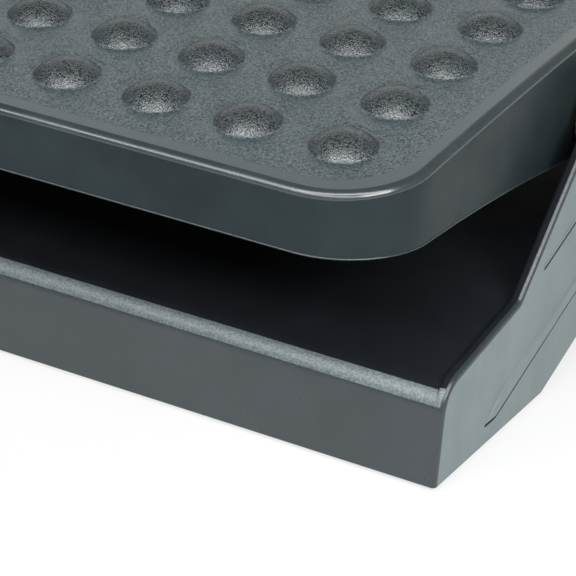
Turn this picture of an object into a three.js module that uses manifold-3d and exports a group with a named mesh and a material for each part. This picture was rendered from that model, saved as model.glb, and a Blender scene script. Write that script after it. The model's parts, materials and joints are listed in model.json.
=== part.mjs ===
// A tilting under desk footrest: a domed foot tray that rocks between the two ears of a moulded base.
// Lengths are in millimetres. +X is the right side, -Y is the front, where the user sits, and +Z is up.
import * as THREE from "three";
import { mergeVertices } from "three/addons/utils/BufferGeometryUtils.js";
import Module from "manifold-3d";

const degree = Math.PI / 180;
const quarterTurn = Math.PI / 2;
const halfTurn = Math.PI;

// Gaps between pieces
const fitGap = 0.3; // between pieces that touch
const runningGap = 0.2; // round the pivot pin in its bush
const overrun = 5; // how far a cut runs past what it cuts

// Massage domes on the tray
const domePitch = 36;
const domeColumns = 11;
const domeRows = 8;
const domeRadius = 11.75;
const domeHeight = 5.2;
const domeSink = 0.8; // how far the dome's ball reaches into the tray's top
const domeRingShare = 0.6; // radius of the ring of points between a dome's edge and its top
const domeSteps = 10;

// Foot tray, measured from its pivot axis and square to its middle
const traySideMargin = 32.3; // side edge to the nearest dome centres
const trayFrontMargin = 33; // front edge to the nearest dome centres
const trayCornerRadius = 32.5;
const trayCornerSteps = 7;
const trayEdgeRadius = 3;
const trayEdgeSteps = 3;
const trayWall = 3;
const trayCrownRadius = 3200; // the top is a slice of a wide cylinder, highest along the middle
const trayTopRise = 33; // top over the pivot axis
const trayKeelDrop = 16; // lowest point of the skirt under the pivot axis
const trayFlankAngle = 12.5; // the skirt's lower edge rises from the keel to the front and the back
const trayFlankRadius = 926; // of the slight hollow in that edge
const trayRestTilt = 3.5; // back edge up, as the tray stands in its rest pose
const trayTiltLimit = 18; // either way from level

// Ribs under the tray
const trayRibDepth = 10;
const trayRibThickness = 2;
const trayCrossRibPitch = 72;
const trayCrossRibs = 3;

// Base frame
const trayOverhang = 26.5; // how far the tray reaches past the base, front and back
const earGap = 8.2; // tray side to ear
const earThickness = 4.5;
const earRadius = 21.5; // round the pivot axis
const earFootDepth = 57; // front of the base to where an ear's edge starts to climb
const earFootRadius = 4;
const baseWall = 3;
const baseFaceHeight = 33.9; // to where the face would meet the shelf if the edge were sharp
const baseFaceLean = 2; // how far the face leans back over its height
const baseEdgeRadius = 6.5;
const sideLip = 1.3; // of the side walls over the shelves
const baseSideRadius = 2;
const baseSideSteps = 2;
const shelfDepth = 63;
const shelfSlope = 10.2;
const pivotHeight = 89; // over the base's lower edge
const outlineSteps = 5; // facets in each rounded corner of an outline
const bigArcSteps = 12; // facets in the round top of an ear

// Arch between the front and rear feet in each side wall
const archHalfWidth = 47.7;
const archHeight = 13;
const archSlope = 21;

// Chevron ridges on the side walls' outer faces, from the pivot plane and from the base's lower edge
const ridgeHeight = 0.8; // along a ridge's lower line, from nothing along its upper line
const lowRidge = { tipY: 101.2, tipZ: 10.1, kneeY: 91.1, kneeZ: 11.1, lowTop: 37.9, highTop: 45.4 };
const highRidge = { tipY: 56, tipZ: 53.2, kneeY: 53, kneeZ: 53.2, lowTop: 68.4, highTop: 72.2 };

// Ribs and bosses under the deck of the base
const baseRibDepth = 10;
const baseRibThickness = 2.5;
const baseRibCount = 10;
const baseCrossRibs = 3;
const earRibThickness = 3;
const earRibDepth = 5;
const earRibOffset = 12;

// Rubber feet
const footRadius = 10;
const footThickness = 4;
const footProud = 1.5; // below the base's lower edge
const footEdge = 0.8;
const footStemRadius = 2.8;
const footStemLength = 8;
const footSideInset = 20;
const footFrontInset = 19;
const footBossWall = 3.5;
const footSteps = 20;

// Pivot hardware
const pinRadius = 4;
const pinHeadRadius = 8;
const pinHeadThickness = 3;
const pinEdge = 0.5;
const pinSteps = 20;
const bushWall = 2.5;
const bushFlangeRadius = 11;
const bushFlangeThickness = 1.5;
const bushDepth = 5.2; // sleeve in the ear
const earSkin = 3; // wall left outside the bush
const frictionWasherRadius = 11;
const frictionWasherThickness = 2;
const springWasherRadius = 9;
const springWasherThickness = 1;
const springWasherCone = 0.8;
const trayBossRadius = 13.5;
const trayBossDepth = 14; // from the pivot seat
const traySeatRadius = 11.5; // round seat in the skirt's outer face at each pivot
const traySeatDepth = 2.3;

// Stop peg on the tray, in a window of the collar on the ear
const collarRadius = 19;
const pegRadius = 2.5;
const pegArm = 16.5; // over the pivot axis
const pegEndGap = 1;
const pegSteps = 12;

// Retainer plate and its screws
const plateThickness = 2;
const plateHalfWidth = 7;
const plateRoundSteps = 8;
const screwSpread = 34; // between a plate's two screws
const screwRadius = 1.75;
const screwLength = 10;
const screwHeadRadius = 3.4;
const screwHeadHeight = 2.3;
const screwHeadEdge = 0.7;
const screwSlotWidth = 0.9;
const screwSlotDepth = 1.3;
const screwSteps = 12;
const screwBossRadius = 4.8;

// Sizes worked out from the ones above
const trayHalfWidth = ((domeColumns - 1) * domePitch) / 2 + traySideMargin;
const trayHalfDepth = ((domeRows - 1) * domePitch) / 2 + trayFrontMargin;
const earInnerX = trayHalfWidth + earGap;
const baseHalfWidth = earInnerX + earThickness;
const baseHalfDepth = trayHalfDepth - trayOverhang;
const shelfRise = Math.tan(shelfSlope * degree);
const deckHeight = baseFaceHeight + (shelfDepth - baseFaceLean) * shelfRise;

// Colours judged by eye
const graphite = new THREE.MeshStandardMaterial({ color: 0x5a6568, roughness: 0.5, metalness: 0 });
const darkGraphite = new THREE.MeshStandardMaterial({ color: 0x4c5659, roughness: 0.45, metalness: 0 });
const blackRubber = new THREE.MeshStandardMaterial({ color: 0x1b1c1d, roughness: 0.85, metalness: 0 });
const paleNylon = new THREE.MeshStandardMaterial({ color: 0xd8d5c8, roughness: 0.5, metalness: 0 });
const brownFibre = new THREE.MeshStandardMaterial({ color: 0x5b3b2a, roughness: 0.8, metalness: 0 });
const brightSteel = new THREE.MeshStandardMaterial({ color: 0xb9bcbf, roughness: 0.3, metalness: 1 });
const zincSteel = new THREE.MeshStandardMaterial({ color: 0xa8a99f, roughness: 0.4, metalness: 1 });

// Solids: a closed geometry goes in, and a solid that can be joined and cut comes out
const wasm = await Module();
wasm.setup();

function solidOf(geometry) {
  const bare = new THREE.BufferGeometry();
  bare.setAttribute("position", geometry.getAttribute("position"));
  bare.setIndex(geometry.index);
  const merged = mergeVertices(bare);
  const corners = merged.index.array;
  const kept = [];
  for (let i = 0; i < corners.length; i += 3) {
    const [a, b, c] = [corners[i], corners[i + 1], corners[i + 2]];
    if (a !== b && b !== c && c !== a) kept.push(a, b, c);
  }
  const vertProperties = merged.getAttribute("position").array;
  return new wasm.Manifold(new wasm.Mesh({ numProp: 3, vertProperties, triVerts: new Uint32Array(kept) }));
}

function geometryOf(solid) {
  const mesh = solid.getMesh();
  const geometry = new THREE.BufferGeometry();
  geometry.setAttribute("position", new THREE.BufferAttribute(mesh.vertProperties, 3));
  geometry.setIndex(new THREE.BufferAttribute(mesh.triVerts, 1));
  geometry.computeVertexNormals();
  return geometry;
}

function joined(solids) {
  return solids.reduce((whole, solid) => whole.add(solid));
}

// Outlines: points in a plane, with rounded corners where a corner has a radius
function roundCorner(before, corner, after, steps) {
  const at = new THREE.Vector2(corner.y, corner.z);
  const back = new THREE.Vector2(before.y, before.z).sub(at).normalize();
  const on = new THREE.Vector2(after.y, after.z).sub(at).normalize();
  const half = Math.acos(back.dot(on)) / 2;
  const centre = back.clone().add(on).normalize().multiplyScalar(corner.radius / Math.sin(half)).add(at);
  const start = back.multiplyScalar(corner.radius / Math.tan(half)).add(at).sub(centre).angle();
  const end = on.multiplyScalar(corner.radius / Math.tan(half)).add(at).sub(centre).angle();
  const sweep = Math.atan2(Math.sin(end - start), Math.cos(end - start));
  const points = [];
  for (let k = 0; k <= steps; k++) {
    const angle = start + (sweep * k) / steps;
    const point = new THREE.Vector2(Math.cos(angle), Math.sin(angle));
    points.push(point.multiplyScalar(corner.radius).add(centre));
  }
  return points;
}

function outline(corners) {
  return corners.flatMap((corner, i) => {
    if (!corner.radius) return [new THREE.Vector2(corner.y, corner.z)];
    const before = corners[(i + corners.length - 1) % corners.length];
    const after = corners[(i + 1) % corners.length];
    return roundCorner(before, corner, after, corner.steps ?? outlineSteps);
  });
}

// The corners of one half, from the front, with their mirror images behind the pivot plane
function mirrored(half) {
  const rear = half.map((corner) => ({ ...corner, y: -corner.y })).reverse();
  return [...half, ...rear.filter((corner) => corner.y > 0)];
}

// An outline in Y and Z, extruded from one X to another, with a rounded rim at both ends if it has an edge
function slab(corners, fromX, toX, edge = 0) {
  const shape = new THREE.Shape(outline(corners));
  const geometry = new THREE.ExtrudeGeometry(shape, {
    depth: toX - fromX - 2 * edge,
    bevelEnabled: edge > 0,
    bevelThickness: edge,
    bevelSize: edge,
    bevelOffset: -edge,
    bevelSegments: baseSideSteps,
  });
  geometry.translate(0, 0, fromX + edge);
  const across = new THREE.Vector3(1, 0, 0);
  const along = new THREE.Vector3(0, 1, 0);
  const up = new THREE.Vector3(0, 0, 1);
  return solidOf(geometry.applyMatrix4(new THREE.Matrix4().makeBasis(along, up, across)));
}

function box(fromX, toX, fromY, toY, fromZ, toZ) {
  const geometry = new THREE.BoxGeometry(toX - fromX, toY - fromY, toZ - fromZ);
  return solidOf(geometry.translate((fromX + toX) / 2, (fromY + toY) / 2, (fromZ + toZ) / 2));
}

// A round solid about Z or, turned, about X: pairs of radius and place along the axis, as a closed outline
function turned(pairs, steps) {
  const points = [...pairs, pairs[0]].map(([radius, place]) => new THREE.Vector2(radius, place));
  return new THREE.LatheGeometry(points, steps).rotateX(quarterTurn);
}

function turnedAlongX(pairs, steps) {
  return turned(pairs, steps).rotateY(quarterTurn);
}

function rodAlongX(radius, fromX, toX, y, z, steps) {
  const pairs = [[0, fromX], [radius, fromX], [radius, toX], [0, toX]];
  return solidOf(turnedAlongX(pairs, steps).translate(0, y, z));
}

function halfRound(solid) {
  return solid.rotate([0, 0, halfTurn / degree]);
}

// Both sides: the same solid on the right and, turned half round the middle, on the left
function bothSides(makeSolid) {
  const right = makeSolid();
  return right.add(halfRound(right));
}

// The tray's rings, which all have as many points, so that a loft can join them
function trayKnots() {
  const knots = new Set([0]);
  for (let row = 1; row < domeRows; row++) knots.add((row - domeRows / 2) * domePitch);
  const straight = trayHalfDepth - trayCornerRadius;
  return [...knots].filter((y) => Math.abs(y) < straight).sort((a, b) => a - b);
}

function trayRing(inset, heightAt) {
  const radius = trayCornerRadius - inset;
  const cornerX = trayHalfWidth - trayCornerRadius;
  const cornerY = trayHalfDepth - trayCornerRadius;
  const corner = [];
  for (let k = 0; k <= trayCornerSteps; k++) {
    const angle = (quarterTurn * k) / trayCornerSteps;
    corner.push({ x: cornerX + radius * Math.sin(angle), y: -cornerY - radius * Math.cos(angle) });
  }
  const side = trayKnots().map((y) => ({ x: cornerX + radius, y }));
  const rearCorner = corner.map(({ x, y }) => ({ x, y: -y })).reverse();
  const right = [...corner, ...side, ...rearCorner];
  const left = right.map(({ x, y }) => ({ x: -x, y })).reverse();
  return [...right, ...left].map(({ x, y }) => new THREE.Vector3(x, y, heightAt(y)));
}

// A closed solid through rings, from the lowest to the highest, with rungs across its bottom and its top
function loft(rings) {
  const count = rings[0].length;
  const positions = rings.flat().flatMap((point) => point.toArray());
  const corners = [];
  const quad = (a, b, c, d) => corners.push(a, b, c, a, c, d);
  for (let k = 0; k + 1 < rings.length; k++) {
    for (let i = 0; i < count; i++) {
      const next = (i + 1) % count;
      quad(k * count + i, k * count + next, (k + 1) * count + next, (k + 1) * count + i);
    }
  }
  const top = (rings.length - 1) * count;
  for (let i = 0; i + 1 < count / 2; i++) {
    const across = count - 1 - i;
    quad(top + across, top + i, top + i + 1, top + across - 1);
    quad(across - 1, i + 1, i, across);
  }
  const geometry = new THREE.BufferGeometry();
  geometry.setAttribute("position", new THREE.Float32BufferAttribute(positions, 3));
  geometry.setIndex(corners);
  return solidOf(geometry);
}

function crownAt(y) {
  return trayTopRise - trayCrownRadius + Math.sqrt(trayCrownRadius ** 2 - y ** 2);
}

function flankAt(y) {
  const hollow = trayFlankRadius - Math.sqrt(trayFlankRadius ** 2 - y ** 2);
  return Math.abs(y) * Math.tan(trayFlankAngle * degree) - trayKeelDrop - hollow;
}

function traySolid() {
  const rings = [trayRing(0, flankAt)];
  for (let k = 0; k <= trayEdgeSteps; k++) {
    const angle = (quarterTurn * k) / trayEdgeSteps;
    const inset = trayEdgeRadius * (1 - Math.cos(angle));
    const drop = trayEdgeRadius * (1 - Math.sin(angle));
    rings.push(trayRing(inset, (y) => crownAt(y) - drop));
  }
  return loft(rings);
}

function trayHollow() {
  const mouth = trayRing(trayWall, (y) => flankAt(y) - overrun);
  return loft([mouth, trayRing(trayWall, (y) => crownAt(y) - trayWall)]);
}

function trayRibs() {
  const inWall = trayWall / 2;
  const bottom = trayTopRise - trayWall - trayRibDepth;
  const zone = loft([trayRing(inWall, () => bottom), trayRing(inWall, (y) => crownAt(y) - inWall)]);
  const half = trayRibThickness / 2;
  const low = bottom - overrun;
  const plates = [];
  for (let column = 1; column < domeColumns; column++) {
    const x = (column - domeColumns / 2) * domePitch;
    plates.push(box(x - half, x + half, -trayHalfDepth, trayHalfDepth, low, trayTopRise));
  }
  for (let rib = 0; rib < trayCrossRibs; rib++) {
    const y = (rib - (trayCrossRibs - 1) / 2) * trayCrossRibPitch;
    plates.push(box(-trayHalfWidth, trayHalfWidth, y - half, y + half, low, trayTopRise));
  }
  return joined(plates).intersect(zone);
}

function dome(x, y) {
  const ballRadius = (domeRadius ** 2 + domeHeight ** 2) / (2 * domeHeight);
  const ballDepth = ballRadius - domeHeight;
  const footRadius = Math.sqrt(ballRadius ** 2 - (ballDepth - domeSink) ** 2);
  const ringRadius = domeRingShare * domeRadius;
  const ringRise = Math.sqrt(ballRadius ** 2 - ringRadius ** 2) - ballDepth;
  const pairs = [[0, -domeSink], [footRadius, -domeSink], [ringRadius, ringRise], [0, domeHeight]];
  const lean = Math.asin(-y / trayCrownRadius);
  return solidOf(turned(pairs, domeSteps).rotateX(lean).translate(x, y, crownAt(y)));
}

function domes() {
  const all = [];
  for (let column = 0; column < domeColumns; column++) {
    for (let row = 0; row < domeRows; row++) {
      const x = (column - (domeColumns - 1) / 2) * domePitch;
      const y = (row - (domeRows - 1) / 2) * domePitch;
      all.push(dome(x, y));
    }
  }
  return joined(all);
}

// Places along X of what the pivot pin passes, from the seat in the skirt's outer face
const seatX = trayHalfWidth - traySeatDepth;
const bossFaceX = seatX - trayBossDepth;
const pinHeadX = bossFaceX - fitGap - pinHeadThickness;
const plateFaceX = pinHeadX - fitGap;
const screwHeadX = plateFaceX - plateThickness - fitGap;
const springWasherX = seatX + fitGap;
const frictionWasherX = springWasherX + springWasherThickness + springWasherCone + fitGap;
const bushFlangeX = frictionWasherX + frictionWasherThickness + fitGap;
const collarX = bushFlangeX + bushFlangeThickness + fitGap;
const bushEndX = collarX + bushDepth;
const pinEndX = bushEndX - fitGap;
const bushHoleEndX = baseHalfWidth - earSkin;
const bushHoleRadius = pinRadius + runningGap + bushWall + fitGap;
const pinHoleRadius = pinRadius + fitGap;
const screwHoleRadius = screwRadius + fitGap;
const screwY = screwSpread / 2;

function trayBosses() {
  const inWall = trayHalfWidth - trayWall / 2;
  const pegEnd = earInnerX - pegEndGap;
  const parts = [rodAlongX(trayBossRadius, bossFaceX, inWall, 0, 0, pinSteps)];
  parts.push(rodAlongX(pegRadius, inWall, pegEnd, 0, pegArm, pegSteps));
  for (const y of [-screwY, screwY]) {
    parts.push(rodAlongX(screwBossRadius, plateFaceX + fitGap, inWall, y, 0, pegSteps));
  }
  return joined(parts);
}

function trayHoles() {
  const seatEnd = trayHalfWidth + overrun;
  const parts = [rodAlongX(pinHoleRadius, pinHeadX - fitGap, seatEnd, 0, 0, pinSteps)];
  parts.push(rodAlongX(traySeatRadius, seatX, seatEnd, 0, 0, pinSteps));
  const holeEnd = screwHeadX + screwLength + fitGap;
  for (const y of [-screwY, screwY]) {
    parts.push(rodAlongX(screwHoleRadius, screwHeadX, holeEnd, y, 0, screwSteps));
  }
  return joined(parts);
}

function footTray() {
  return traySolid()
    .subtract(trayHollow())
    .add(trayRibs())
    .add(domes())
    .add(bothSides(trayBosses))
    .subtract(bothSides(trayHoles));
}

// Half of the base's outline in Y and Z, from its lower edge at the front, moved in or up
function baseHalf(inset, lift = 0) {
  const faceLean = baseFaceLean / baseFaceHeight;
  const faceFootY = -baseHalfDepth + inset * Math.hypot(1, faceLean);
  const shelfFrontZ = baseFaceHeight + lift - baseFaceLean * shelfRise - inset * Math.hypot(1, shelfRise);
  const faceInset = faceFootY + baseHalfDepth;
  const cornerZ = (shelfFrontZ + faceInset * shelfRise) / (1 - faceLean * shelfRise);
  const deckZ = deckHeight + lift - inset;
  return [
    { y: faceFootY - faceLean * overrun, z: -overrun },
    { y: faceFootY + faceLean * cornerZ, z: cornerZ, radius: Math.max(baseEdgeRadius - inset, 0) },
    { y: (deckZ - shelfFrontZ) / shelfRise - baseHalfDepth, z: deckZ },
  ];
}

// Half of a side wall: the base's outline up to the ear's foot, then the ear's edge to its round top
function sideHalf() {
  const [bottom, corner] = baseHalf(0, sideLip);
  const footY = earFootDepth - baseHalfDepth;
  const footZ = baseFaceHeight + sideLip + (earFootDepth - baseFaceLean) * shelfRise;
  const reach = Math.hypot(footY, pivotHeight - footZ);
  const climb = Math.atan2(pivotHeight - footZ, -footY) + Math.asin(earRadius / reach);
  const apexZ = pivotHeight + earRadius / Math.cos(climb);
  return [
    bottom,
    corner,
    { y: footY, z: footZ, radius: earFootRadius, steps: baseSideSteps },
    { y: 0, z: apexZ, radius: earRadius, steps: bigArcSteps },
  ];
}

// One arm of a chevron ridge: a wedge that tapers to a tip at the front or at the back
function ridgeArm({ tipY, tipZ, kneeY, kneeZ, lowTop, highTop }, facing) {
  const rootX = baseHalfWidth - ridgeHeight;
  const upper = [[facing * tipY, tipZ], [0, highTop]];
  const lower = [[facing * kneeY, kneeZ], [0, lowTop]];
  const root = [...upper, ...lower].map(([y, z]) => [rootX, y, z]);
  const rim = upper.map(([y, z]) => [baseHalfWidth, y, z]);
  const crest = lower.map(([y, z]) => [baseHalfWidth + ridgeHeight, y, z]);
  return wasm.Manifold.hull([...root, ...rim, ...crest]);
}

function ridges() {
  return joined([lowRidge, highRidge].flatMap((sizes) => [-1, 1].map((facing) => ridgeArm(sizes, facing))));
}

function baseOuter() {
  const inner = baseHalfWidth - baseSideRadius;
  const body = slab(mirrored(baseHalf(0)), -inner, inner);
  const wall = slab(mirrored(sideHalf()), earInnerX, baseHalfWidth, baseSideRadius);
  return body.add(wall).add(halfRound(wall)).add(bothSides(ridges));
}

function footRing(radius, fromZ, toZ) {
  const y = baseHalfDepth - footFrontInset;
  const x = baseHalfWidth - footSideInset;
  const geometry = turned([[0, fromZ], [radius, fromZ], [radius, toZ], [0, toZ]], footSteps);
  const one = solidOf(geometry);
  const places = [[x, y], [x, -y], [-x, y], [-x, -y]];
  return joined(places.map(([atX, atY]) => one.translate([atX, atY, 0])));
}

function baseInside() {
  const skin = slab(mirrored(baseHalf(baseWall / 2)), -earInnerX - fitGap, earInnerX + fitGap);
  const belowRibs = slab(mirrored(baseHalf(baseWall + baseRibDepth)), -earInnerX, earInnerX);
  const half = baseRibThickness / 2;
  const plates = [];
  for (let rib = 0; rib < baseRibCount; rib++) {
    const x = ((2 * (rib + 1)) / (baseRibCount + 1) - 1) * earInnerX;
    plates.push(box(x - half, x + half, -baseHalfDepth, baseHalfDepth, 0, deckHeight));
  }
  for (let rib = 0; rib < baseCrossRibs; rib++) {
    const y = (rib - (baseCrossRibs - 1) / 2) * (baseHalfDepth - shelfDepth);
    plates.push(box(-earInnerX, earInnerX, y - half, y + half, 0, deckHeight));
  }
  const ribs = joined(plates).subtract(belowRibs);
  const bosses = footRing(footStemRadius + footBossWall, footThickness - footProud + fitGap, deckHeight);
  return ribs.add(bosses).intersect(skin);
}

function collarWindow() {
  const half = trayTiltLimit * degree + Math.asin((pegRadius + fitGap) / pegArm);
  const inner = pegArm - pegRadius - fitGap;
  const outer = collarRadius + overrun;
  const at = (radius, angle) => ({ y: radius * Math.sin(angle), z: pivotHeight + radius * Math.cos(angle) });
  const corners = [at(outer, half), at(inner, half), at(inner, half / 2), at(inner, 0)];
  corners.push(at(inner, -half / 2), at(inner, -half), at(outer, -half));
  return slab(corners, collarX - overrun, earInnerX);
}

function earFittings() {
  const inWall = earInnerX + earThickness / 2;
  const collar = rodAlongX(collarRadius, collarX, inWall, 0, pivotHeight, pinSteps).subtract(collarWindow());
  const ribs = [-earRibOffset, earRibOffset].map((y) => {
    const half = earRibThickness / 2;
    return box(earInnerX - earRibDepth, inWall, y - half, y + half, deckHeight - baseWall / 2, pivotHeight);
  });
  const hub = rodAlongX(collarRadius - fitGap, collarX - overrun, inWall, 0, pivotHeight, pinSteps);
  return collar.add(joined(ribs).subtract(hub));
}

function baseCuts() {
  const archTop = archHalfWidth - archHeight / Math.tan(archSlope * degree);
  const archFoot = archHalfWidth + overrun / Math.tan(archSlope * degree);
  const arch = mirrored([{ y: -archFoot, z: -overrun }, { y: -archTop, z: archHeight }]);
  const cuts = [slab(arch, -baseHalfWidth - overrun, baseHalfWidth + overrun)];
  const floorX = baseHalfWidth + overrun;
  const floorY = baseHalfDepth + overrun;
  cuts.push(box(-floorX, floorX, -floorY, floorY, -overrun - overrun, 0));
  cuts.push(footRing(footStemRadius + fitGap, 0, footThickness - footProud + footStemLength + fitGap));
  const fromX = collarX - overrun;
  cuts.push(bothSides(() => rodAlongX(bushHoleRadius, fromX, bushHoleEndX, 0, pivotHeight, pinSteps)));
  return joined(cuts);
}

function baseFrame() {
  const hollow = slab(mirrored(baseHalf(baseWall)), -earInnerX, earInnerX);
  return baseOuter().subtract(hollow).add(baseInside()).add(bothSides(earFittings)).subtract(baseCuts());
}

function rubberFoot() {
  const top = footThickness - footProud;
  return turned(
    [
      [0, -footProud],
      [footRadius - footEdge, -footProud],
      [footRadius, footEdge - footProud],
      [footRadius, top],
      [footStemRadius, top],
      [footStemRadius, top + footStemLength],
      [0, top + footStemLength],
    ],
    footSteps,
  );
}

function pivotPin() {
  return turnedAlongX(
    [
      [0, pinHeadX],
      [pinHeadRadius - pinEdge, pinHeadX],
      [pinHeadRadius, pinHeadX + pinEdge],
      [pinHeadRadius, pinHeadX + pinHeadThickness],
      [pinRadius, pinHeadX + pinHeadThickness],
      [pinRadius, pinEndX - pinEdge],
      [pinRadius - pinEdge, pinEndX],
      [0, pinEndX],
    ],
    pinSteps,
  );
}

function pivotBush() {
  const bore = pinRadius + runningGap;
  return turnedAlongX(
    [
      [bore, bushFlangeX],
      [bushFlangeRadius, bushFlangeX],
      [bushFlangeRadius, bushFlangeX + bushFlangeThickness],
      [bore + bushWall, bushFlangeX + bushFlangeThickness],
      [bore + bushWall, bushEndX],
      [bore, bushEndX],
    ],
    pinSteps,
  );
}

function frictionWasher() {
  return turnedAlongX(
    [
      [pinHoleRadius, frictionWasherX],
      [frictionWasherRadius, frictionWasherX],
      [frictionWasherRadius, frictionWasherX + frictionWasherThickness],
      [pinHoleRadius, frictionWasherX + frictionWasherThickness],
    ],
    pinSteps,
  );
}

// A cone: its rim bears on the tray and its hole on the friction washer
function springWasher() {
  return turnedAlongX(
    [
      [pinHoleRadius, springWasherX + springWasherCone],
      [springWasherRadius, springWasherX],
      [springWasherRadius, springWasherX + springWasherThickness],
      [pinHoleRadius, springWasherX + springWasherCone + springWasherThickness],
    ],
    pinSteps,
  );
}

function retainerPlate() {
  const corners = [];
  for (const end of [-1, 1]) {
    for (let k = 0; k <= plateRoundSteps; k++) {
      const angle = (halfTurn * k) / plateRoundSteps;
      const reach = screwY + plateHalfWidth * Math.sin(angle);
      corners.push({ y: end * reach, z: -end * plateHalfWidth * Math.cos(angle) });
    }
  }
  const backX = plateFaceX - plateThickness;
  const plate = slab(corners, backX, plateFaceX);
  const holes = [-screwY, screwY].map((y) => {
    return rodAlongX(screwHoleRadius, backX - overrun, plateFaceX + overrun, y, 0, screwSteps);
  });
  return geometryOf(plate.subtract(joined(holes)));
}

function plateScrew() {
  const top = screwHeadX - screwHeadHeight;
  const body = turnedAlongX(
    [
      [0, top],
      [screwHeadRadius - screwHeadEdge, top],
      [screwHeadRadius, top + screwHeadEdge],
      [screwHeadRadius, screwHeadX],
      [screwRadius, screwHeadX],
      [screwRadius, screwHeadX + screwLength - screwRadius],
      [0, screwHeadX + screwLength],
    ],
    screwSteps,
  );
  const half = screwSlotWidth / 2;
  const arm = screwHeadRadius - screwHeadEdge - screwSlotWidth;
  const upright = box(top - overrun, top + screwSlotDepth, -half, half, -arm, arm);
  const level = box(top - overrun, top + screwSlotDepth, -arm, arm, -half, half);
  return geometryOf(solidOf(body).subtract(upright).subtract(level));
}

function named(name, geometry, material) {
  const mesh = new THREE.Mesh(geometry, material);
  mesh.name = name;
  return mesh;
}

// What each side adds to the base and to the tray, as groups that are turned half round for the left
function baseHardware(side) {
  const group = new THREE.Group();
  group.add(named(`pivot_bush_${side}`, pivotBush(), paleNylon));
  group.add(named(`friction_washer_${side}`, frictionWasher(), brownFibre));
  return group;
}

function trayHardware(side) {
  const group = new THREE.Group();
  group.add(named(`pivot_pin_${side}`, pivotPin(), brightSteel));
  group.add(named(`spring_washer_${side}`, springWasher(), zincSteel));
  group.add(named(`retainer_plate_${side}`, retainerPlate(), zincSteel));
  const facing = side === "left" ? -1 : 1;
  for (const [place, toward] of [["front", -facing], ["rear", facing]]) {
    const screw = named(`plate_screw_${place}_${side}`, plateScrew(), zincSteel);
    screw.position.y = toward * screwY;
    group.add(screw);
  }
  return group;
}

function baseGroup() {
  const group = new THREE.Group();
  group.add(named("base_frame", geometryOf(baseFrame()), darkGraphite));
  const x = baseHalfWidth - footSideInset;
  const y = baseHalfDepth - footFrontInset;
  for (const [side, atX] of [["left", -x], ["right", x]]) {
    for (const [place, atY] of [["front", -y], ["rear", y]]) {
      const foot = named(`rubber_foot_${place}_${side}`, rubberFoot(), blackRubber);
      foot.position.set(atX, atY, 0);
      group.add(foot);
    }
  }
  for (const [side, turn] of [["right", 0], ["left", halfTurn]]) {
    const hardware = baseHardware(side);
    hardware.position.z = pivotHeight;
    hardware.rotation.z = turn;
    group.add(hardware);
  }
  return group;
}

function trayGroup() {
  const group = new THREE.Group();
  group.add(named("foot_tray", geometryOf(footTray()), graphite));
  for (const [side, turn] of [["right", 0], ["left", halfTurn]]) {
    const hardware = trayHardware(side);
    hardware.rotation.z = turn;
    group.add(hardware);
  }
  group.position.z = pivotHeight;
  group.rotation.x = trayRestTilt * degree;
  return group;
}

// The footrest stands on the floor with the middle of its plan over the origin
const assembly = new THREE.Group();
assembly.add(baseGroup(), trayGroup());
assembly.updateMatrixWorld(true);
const extent = new THREE.Box3().setFromObject(assembly, true);
const middle = extent.getCenter(new THREE.Vector3());
assembly.position.set(-middle.x, -middle.y, -extent.min.z);

const footrest = new THREE.Group();
footrest.add(assembly);

export default footrest;
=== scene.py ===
"""The looks of a tilting under desk footrest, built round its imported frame. Lengths are in metres."""

import json
import math

import bmesh
import bpy
from mathutils import Matrix, Vector


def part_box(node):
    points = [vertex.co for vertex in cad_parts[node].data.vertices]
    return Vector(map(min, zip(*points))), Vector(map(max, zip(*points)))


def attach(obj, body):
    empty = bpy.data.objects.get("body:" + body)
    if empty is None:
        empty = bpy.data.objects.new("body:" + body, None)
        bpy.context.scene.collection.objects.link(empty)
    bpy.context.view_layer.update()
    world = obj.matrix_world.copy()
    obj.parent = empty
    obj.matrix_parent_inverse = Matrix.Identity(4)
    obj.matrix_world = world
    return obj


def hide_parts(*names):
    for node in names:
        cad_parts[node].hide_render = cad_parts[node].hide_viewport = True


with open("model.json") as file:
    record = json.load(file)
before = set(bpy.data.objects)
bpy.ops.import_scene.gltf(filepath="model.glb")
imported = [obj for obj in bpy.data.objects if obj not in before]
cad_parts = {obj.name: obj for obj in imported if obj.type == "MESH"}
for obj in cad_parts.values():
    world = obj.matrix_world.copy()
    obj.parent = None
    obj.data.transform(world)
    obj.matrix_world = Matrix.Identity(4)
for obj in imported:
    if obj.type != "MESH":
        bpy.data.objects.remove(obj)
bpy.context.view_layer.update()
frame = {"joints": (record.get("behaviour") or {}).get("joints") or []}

mm = 0.001
degree = math.pi / 180
quarter = math.pi / 2
half_turn = math.pi

# The photograph's camera
camera_place = Vector((0.5511, -0.8473, 0.4478))
camera_azimuth = 28.336 * degree
camera_elevation = 25.528 * degree
camera_roll = 3.223 * degree
camera_lens = 168.16
camera_sensor = 36

# Gaps, angles and the pivot
fit_gap = 0.3 * mm
running_gap = 0.2 * mm
overrun = 5 * mm
hair = 0.02 * mm
point_grid = 0.01 * mm
merge_distance = 0.002 * mm
flat_angle = 0.1 * degree
crease_angle = 35 * degree
pivot = Vector(frame["joints"][0]["pos_m"])
rest_tilt = 3.5 * degree
tilt_limit = 18 * degree
base_foot_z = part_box("base_frame")[0].z
pivot_height = pivot.z - base_foot_z
tray_place = Matrix.Translation(pivot) @ Matrix.Rotation(rest_tilt, 4, "X")
base_place = Matrix.Translation((0, pivot.y, base_foot_z))

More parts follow.
